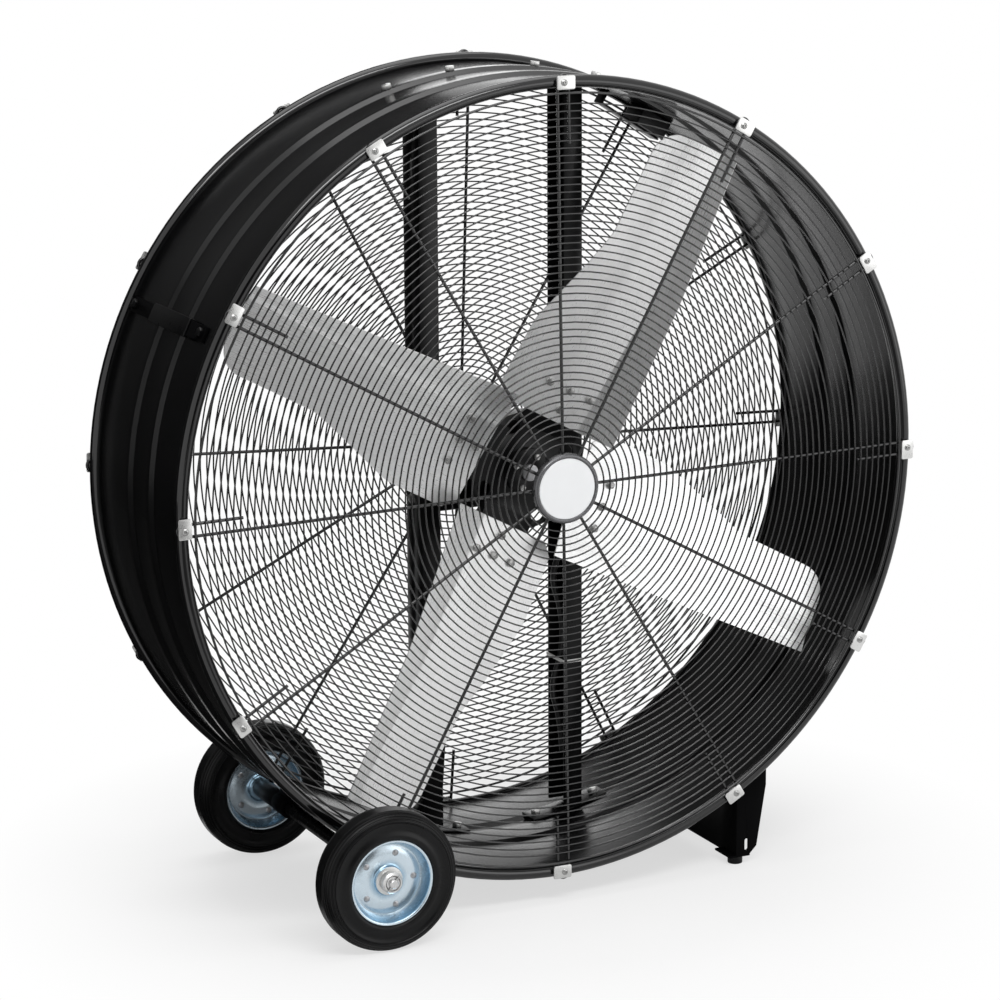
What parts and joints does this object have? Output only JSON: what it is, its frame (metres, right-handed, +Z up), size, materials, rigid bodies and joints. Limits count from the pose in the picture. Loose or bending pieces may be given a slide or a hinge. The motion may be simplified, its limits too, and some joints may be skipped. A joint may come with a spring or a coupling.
{
  "type": "drum fan",
  "caption": "Portable drum fan: round sheet-steel drum with wire guards, a motor on two posts, a bladed rotor, wheels on an axle and a rubber-footed bracket; it moves air and is rolled about",
  "frame": {"origin": "on the floor, under the middle of the object's box; the fan axis is above it", "axes": "+Y along the fan axis to the back, against the air flow; +X to the side with the foot bracket; +Z up"},
  "size_m": [1.146, 0.514, 1.18],
  "materials": {
    "drum_black": "black powder coat, satin gloss",
    "guard_wire": "black powder coated round wire, gloss",
    "zinc_plate": "bright zinc plated pressed sheet",
    "screw_steel": "zinc plated screws and bolts",
    "badge_cup": "spun aluminium",
    "badge_blank": "smooth pale silver face",
    "post_black": "black powder coated folded steel",
    "bracket_black": "black powder coated folded steel",
    "motor_black": "black paint, satin",
    "hub_black": "black paint, satin",
    "blade_sheet": "bare rolled aluminium sheet",
    "shaft_steel": "ground steel",
    "cable_black": "black flexible sheath",
    "tie_white": "natural nylon",
    "box_black": "black moulded plastic",
    "grip_black": "black rubber sleeve",
    "tyre_black": "black tyre rubber",
    "wheel_zinc": "blue passivated zinc plated pressed steel",
    "foot_rubber": "black rubber"
  },
  "bodies": {
    "root": {"drum_shell": "drum_black", "front_guard_spokes": "guard_wire", "front_guard_rings": "guard_wire", "rear_guard_spokes": "guard_wire", "rear_guard_rings": "guard_wire", "rear_guard_inner_ring": "guard_wire", "front_clip_plates": "zinc_plate", "front_clip_screws": "screw_steel", "rear_clip_plates": "zinc_plate", "rear_clip_screws": "screw_steel", "badge_ring": "badge_cup", "badge_face": "badge_blank", "switch_box": "box_black", "switch_box_strap": "bracket_black", "handle_strap": "bracket_black", "handle_grip": "grip_black", "handle_bolts": "screw_steel", "post_right": "post_black", "post_left": "post_black", "post_brackets_top": "post_black", "post_brackets_bottom": "post_black", "post_bolts": "screw_steel", "motor_cross_bars": "post_black", "motor_bolts": "screw_steel", "motor_body": "motor_black", "motor_front_cap": "motor_black", "cable_gland": "box_black", "motor_cable": "cable_black", "cable_tie": "tie_white", "axle": "shaft_steel", "front_axle_bracket": "bracket_black", "rear_axle_bracket": "bracket_black", "axle_bracket_bolts": "screw_steel", "axle_spacers": "shaft_steel", "axle_washers": "zinc_plate", "axle_nuts": "screw_steel", "foot_bracket": "bracket_black", "foot_bracket_bolts": "screw_steel", "rubber_feet": "foot_rubber"},
    "rotor": {"motor_shaft": "shaft_steel", "hub_spider": "hub_black", "hub_bolts": "screw_steel", "blade_bolts": "screw_steel", "blade_1": "blade_sheet", "blade_2": "blade_sheet", "blade_3": "blade_sheet", "blade_4": "blade_sheet"},
    "front_wheel": {"front_tyre": "tyre_black", "front_wheel_disc": "wheel_zinc", "front_wheel_rivets": "screw_steel"},
    "rear_wheel": {"rear_tyre": "tyre_black", "rear_wheel_disc": "wheel_zinc", "rear_wheel_rivets": "screw_steel"}
  },
  "joints": [
    {"name": "rotor_spin", "type": "hinge", "parent": "root", "child": "rotor", "pos_m": [0, -0.03, 0.60701], "axis": [0, 1, 0], "continuous": true},
    {"name": "front_wheel_spin", "type": "hinge", "parent": "root", "child": "front_wheel", "pos_m": [-0.29996, -0.228, 0.1], "axis": [0, 1, 0], "continuous": true},
    {"name": "rear_wheel_spin", "type": "hinge", "parent": "root", "child": "rear_wheel", "pos_m": [-0.29996, 0.228, 0.1], "axis": [0, 1, 0], "continuous": true}
  ]
}
